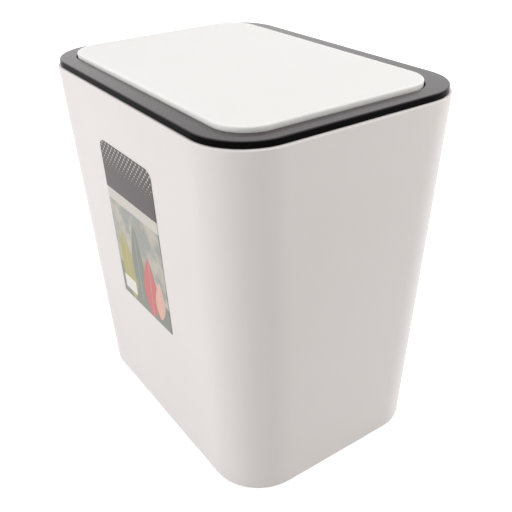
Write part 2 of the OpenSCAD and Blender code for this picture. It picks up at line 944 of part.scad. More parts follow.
// Screws that hold the striker to the liner
module striker_screws() {
  color("silver")
    both_sides()
      translate([striker_screw_x, latch_y, liner_low - striker_t])
        screw(striker_t + striker_bite);
}

// Walls and floor of the latch's channel
module latch_channel(depth) {
  difference() {
    translate([-housing_w / 2, cap_back, housing_z])
      cube([housing_w, depth, housing_top - housing_z]);
    translate([-channel_w / 2, cap_back - over, housing_z + floor_t])
      cube([channel_w, depth - housing_t + over, housing_top]);
  }
}

// Channel of the latch, open at its front and top, with flanges and a peg for the spring
module latch_housing() {
  depth = housing_back - cap_back;
  color("dimgray")
    difference() {
      union() {
        latch_channel(depth);
        translate([0, bore_y, spring_low - sink])
          cylinder(r = peg_r, h = peg_h + sink);
        both_sides()
          translate([housing_w / 2 - sink, cap_back, flange_z])
            cube([flange_w + sink, flange_t, flange_h]);
      }
      both_sides()
        translate([latch_screw_x, cap_back - over, latch_screw_z])
          rotate([-90, 0, 0])
            cylinder(r = clear_r, h = flange_t + 2 * over);
      translate([-window_w / 2, slider_back - over, slider_z])
        cube([window_w, 2 * over + slide_gap + housing_t, slider_h - window_short]);
    }
}

// Plate that closes the channel and holds the follower's foot
module latch_cap() {
  color("dimgray")
    difference() {
      union() {
        translate([-housing_w / 2, cap_front, housing_z])
          cube([housing_w, cap_t, housing_top - housing_z]);
        translate([-latch_half_w, cap_front, flange_z])
          cube([2 * latch_half_w, cap_t, flange_h]);
      }
      both_sides()
        translate([latch_screw_x, cap_front - over, latch_screw_z])
          rotate([-90, 0, 0])
            cylinder(r = clear_r, h = cap_t + 2 * over);
      translate([0, cap_front - over, pivot_z])
        rotate([-90, 0, 0])
          cylinder(r = follower_r + run_gap, h = cap_t + 2 * over);
    }
}

// Screws that hold housing and cap to the frame's rails
module latch_screws() {
  color("silver")
    both_sides()
      translate([latch_screw_x, cap_back + flange_t, latch_screw_z])
        rotate([90, 0, 0])
          screw(latch_screw_len);
}

// Carriage with a heart-shaped cam track in its front and a spring bore in its underside
module latch_slider() {
  color("ivory")
    difference() {
      translate([-slider_w / 2, slider_front, slider_z])
        cube([slider_w, slider_d, slider_h]);
      along_y(slider_front - over, cam_depth + over)
        translate([0, cam_z])
          difference() {
            polygon(cam_track);
            polygon(cam_island);
          }
      translate([0, bore_y, slider_z - over])
        cylinder(r = bore_r, h = bore_h + over);
      translate([-fork_out_x - fork_play, latch_y - fork_d / 2 - fork_play, slider_top - fork_base_t])
        cube([2 * (fork_out_x + fork_play), fork_d + 2 * fork_play, fork_base_t + over]);
    }
}

// Sprung fork that grips the striker's head
module latch_fork() {
  tip_x = neck_w / 2 + hook_gap;
  in_x = fork_out_x - fork_t;
  color("white")
    along_y(latch_y - fork_d / 2, fork_d)
      polygon([
        [-fork_out_x, slider_top - fork_base_t], [fork_out_x, slider_top - fork_base_t],
        [fork_out_x, hook_top - fork_edge], [fork_out_x - fork_edge, hook_top],
        [tip_x + hook_slope, hook_top], [tip_x, hook_low + hook_tip_h], [tip_x, hook_low],
        [in_x, hook_low], [in_x, slider_top], [-in_x, slider_top], [-in_x, hook_low],
        [-tip_x, hook_low], [-tip_x, hook_low + hook_tip_h], [-tip_x - hook_slope, hook_top],
        [-fork_out_x + fork_edge, hook_top], [-fork_out_x, hook_top - fork_edge]
      ]);
}

// Compression spring under the carriage
module latch_spring() {
  color("silver")
    tube(latch_spring_rings, latch_wire_r);
}

// Spring-wire follower: its foot in the cap, its tip in the cam track
module latch_wire() {
  y = slider_front - follower_gap / 2;
  color("silver") {
    translate([0, y, pivot_z])
      cylinder(r = follower_r, h = cam_z - pivot_z);
    for (z = [pivot_z, cam_z])
      translate([0, y, z])
        sphere(follower_r);
    translate([0, y, cam_z])
      rotate([-90, 0, 0])
        cylinder(r = follower_r, h = follower_gap / 2 + cam_depth - cam_end_gap);
    translate([0, y, pivot_z])
      rotate([90, 0, 0])
        cylinder(r = follower_r, h = follower_gap / 2 + cap_t - cam_end_gap);
  }
}

echo(
  hinge_spring_gap = least_gap(hinge_spring_rings, wire_r, 5),
  latch_spring_gap = least_gap(latch_spring_rings, latch_wire_r, 5)
);

outer_body();
rubber_feet();
front_label();
top_frame();
frame_buffers();
hinge_rod();
hinge_spring_left();
hinge_spring_right();
lid_cover();
lid_liner();
lid_screws();
latch_striker();
striker_screws();
latch_housing();
latch_cap();
latch_screws();
latch_slider();
latch_fork();
latch_spring();
latch_wire();
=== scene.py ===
import math

import bpy
from mathutils import Matrix, Vector


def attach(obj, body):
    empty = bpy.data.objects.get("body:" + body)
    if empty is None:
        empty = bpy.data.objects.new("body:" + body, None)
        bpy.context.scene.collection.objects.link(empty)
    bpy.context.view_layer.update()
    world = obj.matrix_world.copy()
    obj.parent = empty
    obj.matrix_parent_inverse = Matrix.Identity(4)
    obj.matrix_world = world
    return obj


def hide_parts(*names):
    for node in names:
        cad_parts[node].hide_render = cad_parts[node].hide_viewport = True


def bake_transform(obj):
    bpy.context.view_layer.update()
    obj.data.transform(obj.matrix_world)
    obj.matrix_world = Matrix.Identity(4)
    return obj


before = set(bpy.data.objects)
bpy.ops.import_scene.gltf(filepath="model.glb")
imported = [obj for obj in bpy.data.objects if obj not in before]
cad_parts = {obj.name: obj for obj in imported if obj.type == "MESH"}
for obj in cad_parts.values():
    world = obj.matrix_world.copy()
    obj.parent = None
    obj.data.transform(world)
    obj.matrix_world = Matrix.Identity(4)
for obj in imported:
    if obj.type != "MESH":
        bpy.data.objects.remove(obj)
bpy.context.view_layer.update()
print("stage: frame loaded,", len(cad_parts), "nodes")


def toned(red, green, blue):
    # a colour as it is read on a screen, 0 to 255, turned linear for the shader
    channels = [c / 255 for c in (red, green, blue)]
    linear = [c / 12.92 if c <= 0.04045 else ((c + 0.055) / 1.055) ** 2.4 for c in channels]
    return (*linear, 1.0)


def addNode(tree, kind, values=(), **settings):
    node = tree.nodes.new(kind)
    for key, value in settings.items():
        setattr(node, key, value)
    for key, value in dict(values).items():
        node.inputs[key].default_value = value
    return node


def newGroup(name, inputs, outputs):
    group = bpy.data.node_groups.new(name, "ShaderNodeTree")
    for label, kind, value in inputs:
        socket = group.interface.new_socket(label, in_out="INPUT", socket_type="NodeSocket" + kind)
        if value is not None:
            socket.default_value = value
    for label, kind in outputs:
        group.interface.new_socket(label, in_out="OUTPUT", socket_type="NodeSocket" + kind)
    return group, group.nodes.new("NodeGroupInput"), group.nodes.new("NodeGroupOutput")


def makeMouldedSkin():
    # moulded plastic: cloudy flow marks in colour and gloss, and the fine grain of a spark-eroded mould
    group, given, out = newGroup(
        "mouldedSkin",
        [("Vector", "Vector", None),
         ("Colour", "Color", (0.8, 0.8, 0.8, 1)), ("Flow Colour", "Color", (0.7, 0.7, 0.7, 1)),
         ("Flow Scale", "Float", 9.0), ("Grain Scale", "Float", 900.0),
         ("Gloss Low", "Float", 0.35), ("Gloss High", "Float", 0.45)],
        [("Colour", "Color"), ("Roughness", "Float"), ("Height", "Float")],
    )
    link = group.links.new
    flow = addNode(group, "ShaderNodeTexNoise", {"Detail": 3.0, "Roughness": 0.55})
    grain = addNode(group, "ShaderNodeTexNoise", {"Detail": 2.0, "Roughness": 0.6})
    tint = addNode(group, "ShaderNodeMix", data_type="RGBA")
    gloss = addNode(group, "ShaderNodeMapRange", {"From Min": 0.3, "From Max": 0.7})
    for texture, scale in ((flow, "Flow Scale"), (grain, "Grain Scale")):
        link(given.outputs["Vector"], texture.inputs["Vector"])
        link(given.outputs[scale], texture.inputs["Scale"])
    link(flow.outputs["Fac"], tint.inputs["Factor"])
    link(given.outputs["Colour"], tint.inputs["A"])
    link(given.outputs["Flow Colour"], tint.inputs["B"])
    link(flow.outputs["Fac"], gloss.inputs["Value"])
    link(given.outputs["Gloss Low"], gloss.inputs["To Min"])
    link(given.outputs["Gloss High"], gloss.inputs["To Max"])
    link(tint.outputs["Result"], out.inputs["Colour"])
    link(gloss.outputs["Result"], out.inputs["Roughness"])
    link(grain.outputs["Fac"], out.inputs["Height"])
    return group


def makeHairMarks():
    # fine wiping marks, long one way and thin the other, with bare patches between them
    group, given, out = newGroup(
        "hairMarks",
        [("Vector", "Vector", None), ("Scale", "Float", 60.0),
         ("Stretch", "Float", 30.0), ("Turn", "Float", 0.5)],
        [("Mask", "Float")],
    )
    link = group.links.new
    turn = addNode(group, "ShaderNodeVectorRotate", rotation_type="AXIS_ANGLE")
    stretch = addNode(group, "ShaderNodeCombineXYZ", {"Y": 1.0, "Z": 1.0})
    pull = addNode(group, "ShaderNodeVectorMath", operation="MULTIPLY")
    lines = addNode(group, "ShaderNodeTexNoise", {"Detail": 2.0, "Roughness": 0.7})
    patches = addNode(group, "ShaderNodeTexNoise", {"Scale": 14.0, "Detail": 1.0})
    thin = addNode(group, "ShaderNodeMapRange", {"From Min": 0.6, "From Max": 0.72})
    bare = addNode(group, "ShaderNodeMapRange", {"From Min": 0.48, "From Max": 0.66})
    both = addNode(group, "ShaderNodeMath", operation="MULTIPLY")
    link(given.outputs["Vector"], turn.inputs["Vector"])
    link(given.outputs["Turn"], turn.inputs["Angle"])
    link(given.outputs["Stretch"], stretch.inputs["X"])
    link(turn.outputs["Vector"], pull.inputs[0])
    link(stretch.outputs["Vector"], pull.inputs[1])
    link(pull.outputs["Vector"], lines.inputs["Vector"])
    link(given.outputs["Scale"], lines.inputs["Scale"])
    link(given.outputs["Vector"], patches.inputs["Vector"])
    link(lines.outputs["Fac"], thin.inputs["Value"])
    link(patches.outputs["Fac"], bare.inputs["Value"])
    link(thin.outputs["Result"], both.inputs[0])
    link(bare.outputs["Result"], both.inputs[1])
    link(both.outputs["Value"], out.inputs["Mask"])
    return group


mouldedSkin = makeMouldedSkin()
hairMarks = makeHairMarks()


def useGroup(tree, group, values=()):
    node = addNode(tree, "ShaderNodeGroup")
    node.node_tree = group
    for key, value in dict(values).items():
        node.inputs[key].default_value = value
    return node


def newMaterial(name, **shader):
    material = bpy.data.materials.new(name)
    material.use_nodes = True
    tree = material.node_tree
    principled = tree.nodes["Principled BSDF"]
    for key, value in shader.items():
        principled.inputs[key].default_value = value
    place = addNode(tree, "ShaderNodeTexCoord").outputs["Object"]
    return material, tree, principled, place


def addBump(tree, principled, height, distance, strength=1.0):
    bump = addNode(tree, "ShaderNodeBump", {"Strength": strength, "Distance": distance})
    tree.links.new(height, bump.inputs["Height"])
    tree.links.new(bump.outputs["Normal"], principled.inputs["Normal"])


def mathNode(tree, operation, first, second, clamp=False):
    node = addNode(tree, "ShaderNodeMath", operation=operation, use_clamp=clamp)
    for index, value in enumerate((first, second)):
        if isinstance(value, (int, float)):
            node.inputs[index].default_value = value
        else:
            tree.links.new(value, node.inputs[index])
    return node.outputs[0]


def rampNode(tree, value, low, high):
    ends = {"From Min": low, "From Max": high}
    node = addNode(tree, "ShaderNodeMapRange", ends, interpolation_type="SMOOTHSTEP")
    tree.links.new(value, node.inputs["Value"])
    return node.outputs["Result"]


def mixColour(tree, factor, first, second):
    node = addNode(tree, "ShaderNodeMix", data_type="RGBA")
    tree.links.new(factor, node.inputs["Factor"])
    for key, value in (("A", first), ("B", second)):
        if isinstance(value, tuple):
            node.inputs[key].default_value = value
        else:
            tree.links.new(value, node.inputs[key])
    return node.outputs["Result"]


plasticLooks = {  # grain height in metres; low and high are the ends of the roughness
    "bodyWhite": dict(colour=toned(229, 224, 222), flow=toned(225, 220, 217), flowScale=7,
                      grain=1300, height=0.00003, low=0.36, high=0.46, marks=0.05),
    "lidWhite": dict(colour=toned(246, 244, 241), flow=toned(243, 241, 237), flowScale=10,
                     grain=1700, height=0.00002, low=0.3, high=0.38, marks=0.06, depth=0.8),
    "linerBlack": dict(colour=toned(38, 38, 39), flow=toned(33, 33, 34), flowScale=16,
                       grain=1500, height=0.00005, low=0.45, high=0.6, marks=0.12),
    "acetalGrey": dict(colour=toned(92, 93, 96), flow=toned(84, 85, 88), flowScale=40,
                       grain=2600, height=0.00002, low=0.32, high=0.45, marks=0.15),
    "acetalNatural": dict(colour=toned(226, 222, 209), flow=toned(219, 214, 198), flowScale=40,
                          grain=2600, height=0.00002, low=0.28, high=0.4, marks=0.1),
}


def makePlastic(name):
    look = plasticLooks[name]
    # the lid's white plastic lets a little light through, which softens its edges
    material, tree, principled, place = newMaterial(name, **{
        "IOR": 1.5, "Subsurface Weight": look.get("depth", 0.0),
        "Subsurface Radius": (1.0, 0.95, 0.9), "Subsurface Scale": 0.0025,
    })
    skin = useGroup(tree, mouldedSkin, {
        "Colour": look["colour"], "Flow Colour": look["flow"], "Flow Scale": look["flowScale"],
        "Grain Scale": look["grain"], "Gloss Low": look["low"], "Gloss High": look["high"],
    })
    marks = useGroup(tree, hairMarks, {"Scale": 55.0, "Stretch": 26.0, "Turn": 0.7})
    tree.links.new(place, skin.inputs["Vector"])
    tree.links.new(place, marks.inputs["Vector"])
    tree.links.new(skin.outputs["Colour"], principled.inputs["Base Color"])
    worn = mathNode(tree, "MULTIPLY", marks.outputs["Mask"], look["marks"])
    rough = mathNode(tree, "ADD", skin.outputs["Roughness"], worn)
    tree.links.new(rough, principled.inputs["Roughness"])
    addBump(tree, principled, skin.outputs["Height"], look["height"])
    return material


surroundLook = {
    # the purple-grey for the top face is a painted reflection of the bright surroundings, not a colour of
    # the plastic
    "side": toned(10, 9, 9), "sideFlow": toned(14, 13, 13), "paintedTopReflection": toned(45, 33, 39),
    # the grey for the inside is painted light, the same black plastic lifted where the inside walls lie in
    # shade; only its added roughness is a real satin
    "inside": toned(46, 45, 46), "low": 0.14, "high": 0.2, "marks": 0.2, "insideRough": 0.22,
    "grainHeight": 0.00003,
    "brimFrom": 0.2382, "brimTo": 0.2389,  # heights where the satin inside, painted a lighter grey as light in the shaded recess, turns into the plain side
    "glossFrom": 0.2422, "glossTo": 0.2429,  # heights where the side turns into the lacquered top, whose purple-grey colour is a painted reflection
}


def makeSurround():
    # glossy black: the top face carries a lacquer and a purple-grey painted reflection, the narrow side is
    # plain, and all below is satin with a lighter grey of painted light
    look = surroundLook
    shader = {"IOR": 1.07, "Coat IOR": 1.4, "Coat Roughness": 0.16}
    material, tree, principled, place = newMaterial("surroundBlack", **shader)
    skin = useGroup(tree, mouldedSkin, {
        "Colour": look["side"], "Flow Colour": look["sideFlow"], "Flow Scale": 20.0, "Grain Scale": 160.0,
        "Gloss Low": look["low"], "Gloss High": look["high"],
    })
    marks = useGroup(tree, hairMarks, {"Scale": 70.0, "Stretch": 34.0, "Turn": 1.1})
    high = addNode(tree, "ShaderNodeSeparateXYZ")
    tree.links.new(place, skin.inputs["Vector"])
    tree.links.new(place, marks.inputs["Vector"])
    tree.links.new(place, high.inputs["Vector"])
    # this mask gives the top face its lacquer coat and also its painted reflection colour
    lacquerAndPaintedReflection = rampNode(tree, high.outputs["Z"], look["glossFrom"], look["glossTo"])
    brim = rampNode(tree, high.outputs["Z"], look["brimFrom"], look["brimTo"])
    # below the brim the black is painted a lighter grey as light in the shaded inside
    sideAndPaintedInside = mixColour(tree, brim, look["inside"], skin.outputs["Colour"])
    tree.links.new(mixColour(tree, lacquerAndPaintedReflection, sideAndPaintedInside, look["paintedTopReflection"]), principled.inputs["Base Color"])
    worn = mathNode(tree, "MULTIPLY", marks.outputs["Mask"], look["marks"])
    satin = mathNode(tree, "MULTIPLY", mathNode(tree, "SUBTRACT", 1.0, brim), look["insideRough"])
    rough = mathNode(tree, "ADD", mathNode(tree, "ADD", skin.outputs["Roughness"], worn), satin)
    tree.links.new(rough, principled.inputs["Roughness"])
    tree.links.new(lacquerAndPaintedReflection, principled.inputs["Coat Weight"])
    addBump(tree, principled, skin.outputs["Height"], look["grainHeight"])
    return material


rubberLook = {"colour": toned(44, 43, 42), "dusty": toned(66, 64, 61), "grain": 2200, "height": 0.00008}


def makeRubber():
    look = rubberLook
    material, tree, principled, place = newMaterial("footRubber", IOR=1.45)
    skin = useGroup(tree, mouldedSkin, {
        "Colour": look["colour"], "Flow Colour": look["dusty"], "Flow Scale": 90.0,
        "Grain Scale": look["grain"], "Gloss Low": 0.7, "Gloss High": 0.88,
    })
    tree.links.new(place, skin.inputs["Vector"])
    tree.links.new(skin.outputs["Colour"], principled.inputs["Base Color"])
    tree.links.new(skin.outputs["Roughness"], principled.inputs["Roughness"])
    addBump(tree, principled, skin.outputs["Height"], look["height"])
    return material


steelLooks = {
    "rodSteel": dict(colour=toned(196, 198, 202), dull=toned(168, 170, 175),
                     scale=260, stretch=0.03, low=0.2, high=0.34),
    "wireSteel": dict(colour=toned(188, 189, 192), dull=toned(150, 150, 154),
                      scale=900, stretch=0.4, low=0.24, high=0.4),
    "screwSteel": dict(colour=toned(203, 203, 198), dull=toned(178, 176, 164),
                       scale=1400, stretch=1.0, low=0.22, high=0.4),
}
lineDepth = 0.00001


def makeSteel(name):
    # drawn or plated steel: fine lines along X, stretched by the look's own factor
    look = steelLooks[name]
    material, tree, principled, place = newMaterial(name, Metallic=1.0)
    pull = addNode(tree, "ShaderNodeMapping", {"Scale": (look["stretch"], 1.0, 1.0)})
    lines = addNode(tree, "ShaderNodeTexNoise", {"Scale": look["scale"], "Detail": 4.0, "Roughness": 0.65})
    patches = addNode(tree, "ShaderNodeTexNoise", {"Scale": 120.0, "Detail": 2.0})
    tree.links.new(place, pull.inputs["Vector"])
    tree.links.new(pull.outputs["Vector"], lines.inputs["Vector"])
    tree.links.new(place, patches.inputs["Vector"])
    colour = mixColour(tree, patches.outputs["Fac"], look["colour"], look["dull"])
    tree.links.new(colour, principled.inputs["Base Color"])
    gloss = addNode(tree, "ShaderNodeMapRange", {
        "From Min": 0.35, "From Max": 0.65, "To Min": look["low"], "To Max": look["high"],
    })
    tree.links.new(lines.outputs["Fac"], gloss.inputs["Value"])
    tree.links.new(gloss.outputs["Result"], principled.inputs["Roughness"])
    addBump(tree, principled, lines.outputs["Fac"], lineDepth)
    return material


printLook = {  # lengths in metres, measured from the sheet's lower left corner
    "left": -0.0357, "foot": 0.0915, "height": 0.114,  # that corner, and the sheet's height
    "bandFoot": 0.0735, "headerFoot": 0.0815, "softEdge": 0.00012,
    "dotFoot": 0.094, "dotPitch": 0.0046, "dotSize": 0.29, "dotSoft": 0.06, "dotFade": 0.4,
    "hillWave": 62.0, "hillSwing": 0.006, "hillTop": 0.024,
    "washScale": 70.0, "washFrom": 0.42, "washTo": 0.68,
    "leafBelly": 0.8, "veinHalf": 0.0004, "veinShow": 0.5,
    "panelMiddle": (0.0125, 0.0105), "panelHalf": (0.0085, 0.0055),
    "fibreScale": 2600.0, "fibreShow": 0.12, "fibreDepth": 0.00001, "glossLow": 0.3, "glossHigh": 0.42,
    "paper": toned(203, 199, 190), "header": toned(50, 37, 44), "headerTop": toned(22, 16, 18),
    "dots": toned(190, 182, 182), "field": toned(146, 148, 142), "wash": toned(186, 180, 166),
    "hill": toned(118, 124, 112), "olive": toned(168, 158, 92), "red": toned(196, 92, 92),
    "salmon": toned(222, 168, 152), "panel": toned(228, 226, 220),
    "leaves": [  # tip x, foot x, foot y, top y, half width, colour
        (0.012, 0.016, 0.000, 0.056, 0.0100, "olive"),
        (0.031, 0.030, 0.006, 0.067, 0.0085, "hill"),
        (0.047, 0.044, 0.000, 0.049, 0.0095, "red"),
        (0.059, 0.055, 0.004, 0.036, 0.0065, "salmon"),
    ],
}


def makePrint():
    # a dark header with a dot screen, a pale band, a washed field with four leaves, and a blank panel
    look = printLook
    material, tree, principled, place = newMaterial("printedSheet", IOR=1.35)
    edge = look["softEdge"]

    def plus(first, second):
        return mathNode(tree, "ADD", first, second)

    def minus(first, second):
        return mathNode(tree, "SUBTRACT", first, second)

    def times(first, second):
        return mathNode(tree, "MULTIPLY", first, second)

    def gap(first, second):
        return mathNode(tree, "ABSOLUTE", minus(first, second), 0.0)

    split = addNode(tree, "ShaderNodeSeparateXYZ")
    tree.links.new(place, split.inputs["Vector"])
    across = minus(split.outputs["X"], look["left"])
    up = minus(split.outputs["Z"], look["foot"])
    cloud = {"Scale": look["washScale"], "Detail": 2.0, "Roughness": 0.5}
    wash = addNode(tree, "ShaderNodeTexNoise", cloud)
    tree.links.new(place, wash.inputs["Vector"])
    washed = rampNode(tree, wash.outputs["Fac"], look["washFrom"], look["washTo"])
    field = mixColour(tree, washed, look["field"], look["wash"])
    wave = mathNode(tree, "SINE", times(across, look["hillWave"]), 0.0)
    hillTop = plus(times(wave, look["hillSwing"]), look["hillTop"])
    colour = mixColour(tree, rampNode(tree, minus(hillTop, up), -edge, edge), field, look["hill"])
    for tip, foot, low, top, half, ink in look["leaves"]:
        height = mathNode(tree, "DIVIDE", minus(up, low), top - low, clamp=True)
        middle = plus(times(height, tip - foot), foot)
        swell = times(mathNode(tree, "POWER", height, look["leafBelly"]), math.pi)
        reach = times(mathNode(tree, "SINE", swell, 0.0), half)
        offset = gap(across, middle)
        inside = rampNode(tree, minus(reach, offset), 0.0, 2 * edge)
        colour = mixColour(tree, inside, colour, look[ink])
        vein = rampNode(tree, minus(look["veinHalf"], offset), 0.0, 2 * edge)
        shown = times(times(vein, inside), look["veinShow"])
        colour = mixColour(tree, shown, colour, look["paper"])
    for foot, ink in ((look["bandFoot"], "paper"), (look["headerFoot"], "header")):
        colour = mixColour(tree, rampNode(tree, up, foot - edge, foot + edge), colour, look[ink])
    squares = []
    for slant in (plus(across, up), minus(across, up)):  # the dots stand on a grid turned by 45 degrees
        cell = mathNode(tree, "FRACT", mathNode(tree, "DIVIDE", slant, look["dotPitch"]), 0.0)
        squares.append(mathNode(tree, "POWER", gap(cell, 0.5), 2.0))
    far = mathNode(tree, "SQRT", plus(*squares), 0.0)
    rise = rampNode(tree, up, look["dotFoot"], look["height"])
    inHeader = rampNode(tree, up, look["headerFoot"], look["headerFoot"] + edge)
    colour = mixColour(tree, times(rise, inHeader), colour, look["headerTop"])
    reach = times(mathNode(tree, "POWER", rise, look["dotFade"]), look["dotSize"])
    dot = rampNode(tree, minus(reach, far), 0.0, look["dotSoft"])
    colour = mixColour(tree, times(dot, inHeader), colour, look["dots"])
    panelX, panelY = (
        rampNode(tree, minus(half, gap(axis, middle)), 0.0, 2 * edge)
        for axis, middle, half in zip((across, up), look["panelMiddle"], look["panelHalf"])
    )
    colour = mixColour(tree, times(panelX, panelY), colour, look["panel"])
    fibres = addNode(tree, "ShaderNodeTexNoise", {"Scale": look["fibreScale"], "Detail": 3.0})
    tree.links.new(place, fibres.inputs["Vector"])
    inked = mixColour(tree, times(fibres.outputs["Fac"], look["fibreShow"]), colour, look["paper"])
    tree.links.new(inked, principled.inputs["Base Color"])
    gloss = addNode(tree, "ShaderNodeMapRange", {"To Min": look["glossLow"], "To Max": look["glossHigh"]})
    tree.links.new(fibres.outputs["Fac"], gloss.inputs["Value"])
    tree.links.new(gloss.outputs["Result"], principled.inputs["Roughness"])
    addBump(tree, principled, fibres.outputs["Fac"], look["fibreDepth"])
    return material


finishes = {name: makePlastic(name) for name in plasticLooks}
finishes.update({name: makeSteel(name) for name in steelLooks})
finishes["surroundBlack"] = makeSurround()
finishes["footRubber"] = makeRubber()
finishes["printedSheet"] = makePrint()

nodeFinish = {
    "outer_body": "bodyWhite", "rubber_feet": "footRubber", "front_label": "printedSheet",
    "top_frame": "surroundBlack", "frame_buffers": "footRubber", "hinge_rod": "rodSteel",
    "hinge_spring_left": "wireSteel", "hinge_spring_right": "wireSteel",
    "lid_cover": "lidWhite", "lid_liner": "linerBlack", "lid_screws": "screwSteel",
    "latch_striker": "acetalGrey", "striker_screws": "screwSteel",
    "latch_housing": "acetalGrey", "latch_cap": "acetalGrey", "latch_screws": "screwSteel",
    "latch_slider": "acetalNatural", "latch_fork": "acetalNatural",
    "latch_spring": "wireSteel", "latch_wire": "wireSteel",
}
for nodeName, finish in nodeFinish.items():
    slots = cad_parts[nodeName].data.materials
    slots.clear()
    slots.append(finishes[finish])
print("stage: materials made,", len(finishes))


def newTree(name, inputs):
    tree = bpy.data.node_groups.new(name, "GeometryNodeTree")
    tree.interface.new_socket("Geometry", in_out="INPUT", socket_type="NodeSocketGeometry")
    for label, kind, value in inputs:
        socket = tree.interface.new_socket(label, in_out="INPUT", socket_type="NodeSocket" + kind)
        if value is not None:
            socket.default_value = value
    tree.interface.new_socket("Geometry", in_out="OUTPUT", socket_type="NodeSocketGeometry")
    return tree, tree.nodes.new("NodeGroupInput"), tree.nodes.new("NodeGroupOutput")


def makeDrawnWire():
    # a round wire along the edges of a line of points
    tree, given, out = newTree("drawnWire", [
        ("Wire Radius", "Float", 0.0005), ("Sides", "Int", 14), ("Material", "Material", None),
    ])
    link = tree.links.new
    path = addNode(tree, "GeometryNodeMeshToCurve")
    section = addNode(tree, "GeometryNodeCurvePrimitiveCircle")
    skin = addNode(tree, "GeometryNodeCurveToMesh", {"Fill Caps": True})
    smooth = addNode(tree, "GeometryNodeSetShadeSmooth")
    solid = addNode(tree, "GeometryNodeRealizeInstances")
    paint = addNode(tree, "GeometryNodeSetMaterial")
    link(given.outputs["Geometry"], path.inputs["Mesh"])
    link(given.outputs["Wire Radius"], section.inputs["Radius"])
    link(given.outputs["Sides"], section.inputs["Resolution"])
    link(path.outputs["Curve"], skin.inputs["Curve"])
    link(section.outputs["Curve"], skin.inputs["Profile Curve"])
    link(skin.outputs["Mesh"], smooth.inputs["Geometry"])
    link(smooth.outputs["Geometry"], solid.inputs["Geometry"])
    link(solid.outputs["Geometry"], paint.inputs["Geometry"])
    link(given.outputs["Material"], paint.inputs["Material"])
    link(paint.outputs["Geometry"], out.inputs["Geometry"])
    return tree


def makeScrewRow():
    # one screw at every point, all pointing the same way and each spun by its own amount
    tree, given, out = newTree("screwRow", [
        ("Screw", "Object", None), ("Turn", "Vector", (0, 0, 0)), ("Material", "Material", None),
    ])
    link = tree.links.new
    source = addNode(tree, "GeometryNodeObjectInfo")
    place = addNode(tree, "GeometryNodeInstanceOnPoints")
    twist = addNode(tree, "FunctionNodeRandomValue", {"Seed": 7}, data_type="FLOAT")
    turnOut = addNode(tree, "ShaderNodeCombineXYZ")
    spin = addNode(tree, "GeometryNodeRotateInstances", {"Local Space": True})
    solid = addNode(tree, "GeometryNodeRealizeInstances")
    paint = addNode(tree, "GeometryNodeSetMaterial")
    twist.inputs["Max"].default_value = math.pi
    link(given.outputs["Screw"], source.inputs["Object"])
    link(given.outputs["Geometry"], place.inputs["Points"])
    link(source.outputs["Geometry"], place.inputs["Instance"])
    link(given.outputs["Turn"], place.inputs["Rotation"])
    link(twist.outputs["Value"], turnOut.inputs["Z"])
    link(place.outputs["Instances"], spin.inputs["Instances"])
    link(turnOut.outputs["Vector"], spin.inputs["Rotation"])
    link(spin.outputs["Instances"], solid.inputs["Geometry"])
    link(solid.outputs["Geometry"], paint.inputs["Geometry"])
    link(given.outputs["Material"], paint.inputs["Material"])
    link(paint.outputs["Geometry"], out.inputs["Geometry"])
    return tree


drawnWire = makeDrawnWire()
screwRow = makeScrewRow()


def linkObject(name, mesh):
    piece = bpy.data.objects.new(name, mesh)
    bpy.context.scene.collection.objects.link(piece)
    return piece


def growMesh(name, points, edges, tree, values):
    # runs a tree on a few points or edges and keeps the result as a plain mesh
    seed = bpy.data.meshes.new(name + "Seed")
    seed.from_pydata(points, edges, [])
    holder = linkObject(name + "Seed", seed)
    modifier = holder.modifiers.new("grow", "NODES")
    modifier.node_group = tree
    for item in tree.interface.items_tree:
        if item.in_out == "INPUT" and item.name in values:
            modifier[item.identifier] = values[item.name]
    grown = bpy.data.meshes.new_from_object(holder.evaluated_get(bpy.context.evaluated_depsgraph_get()))
    grown.name = name
    bpy.data.objects.remove(holder)
    return linkObject(name, grown)


hingeSpring = {  # metres; the coil runs along the rod from startX towards the middle of the bin
    "startX": 0.05445, "rodY": 0.0747, "rodZ": 0.236, "radius": 0.00305, "pitch": 0.001395,
    "turns": 5, "wire": 0.00045, "steps": 32,
    "hookReach": 0.0051, "hookRadius": 0.001, "hookSteps": 6, "legDrop": 0.008, "legTop": 0.2403,
}
latchSpring = {
    "y": -0.059, "low": 0.1928, "high": 0.2063, "radius": 0.0021, "wire": 0.00035,
    "turns": 9, "steps": 28, "closedPitch": 1.05,  # closed turns lie this many wires apart
}
wireSides = 14


def hingeSpringPath(side):
    s = hingeSpring
    y, z, bend = s["rodY"] + s["radius"], s["rodZ"] - s["legDrop"], s["hookRadius"]
    points = [(s["startX"] + s["hookReach"], y, z)]
    for step in range(s["hookSteps"] + 1):  # the hook under the arm turns up into the leg
        a = math.radians(90 / s["hookSteps"] * step)
        points.append((s["startX"] + bend * (1 - math.sin(a)), y, z + bend * (1 - math.cos(a))))
    for step in range(s["turns"] * s["steps"] + 1):
        turn = step / s["steps"]
        a = math.tau * turn
        points.append((s["startX"] - s["pitch"] * turn,
                       s["rodY"] + s["radius"] * math.cos(a), s["rodZ"] + s["radius"] * math.sin(a)))
    points.append((s["startX"] - s["pitch"] * s["turns"], y, s["legTop"]))
    return [(side * px, py, pz) for px, py, pz in points]


def latchSpringPath():
    # the end turns lie closed, as on a ground spring, and the rest is evenly pitched
    s = latchSpring
    openTurns = s["turns"] - 2
    low, high, closed = s["low"] + s["wire"], s["high"] - s["wire"], 2 * s["wire"] * s["closedPitch"]
    middle = (high - low - 2 * closed) / openTurns
    points = []
    for step in range(s["turns"] * s["steps"] + 1):
        turn = step / s["steps"]
        rise = min(turn, 1) * closed + min(max(turn - 1, 0), openTurns) * middle
        rise += max(turn - s["turns"] + 1, 0) * closed
        a = math.tau * turn
        points.append((s["radius"] * math.cos(a), s["y"] + s["radius"] * math.sin(a), low + rise))
    return points


